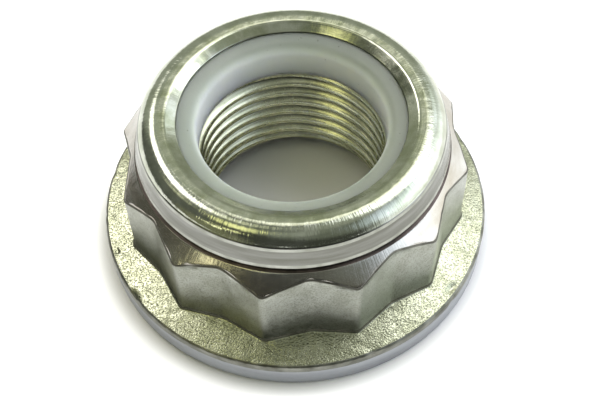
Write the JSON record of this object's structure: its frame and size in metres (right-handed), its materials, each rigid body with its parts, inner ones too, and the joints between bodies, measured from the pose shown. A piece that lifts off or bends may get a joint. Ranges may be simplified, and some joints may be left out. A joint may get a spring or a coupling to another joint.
{
  "type": "nut",
  "caption": "Flanged lock nut with a star-shaped wrenching drive and a nylon locking ring held under the rolled lip of its collar.",
  "frame": {"origin": "centre of the flat bearing face under the flange", "axes": "+Z along the thread axis, from the bearing face towards the locking ring; a corner of the twelve-point drive lies on +X"},
  "size_m": [0.0406, 0.0404, 0.0178],
  "materials": {
    "zinc_steel": "zinc plated, satin to bright",
    "nylon": "milky, slightly see-through"
  },
  "bodies": {
    "root": {"nut_body": "zinc_steel", "locking_insert": "nylon"}
  },
  "joints": []
}
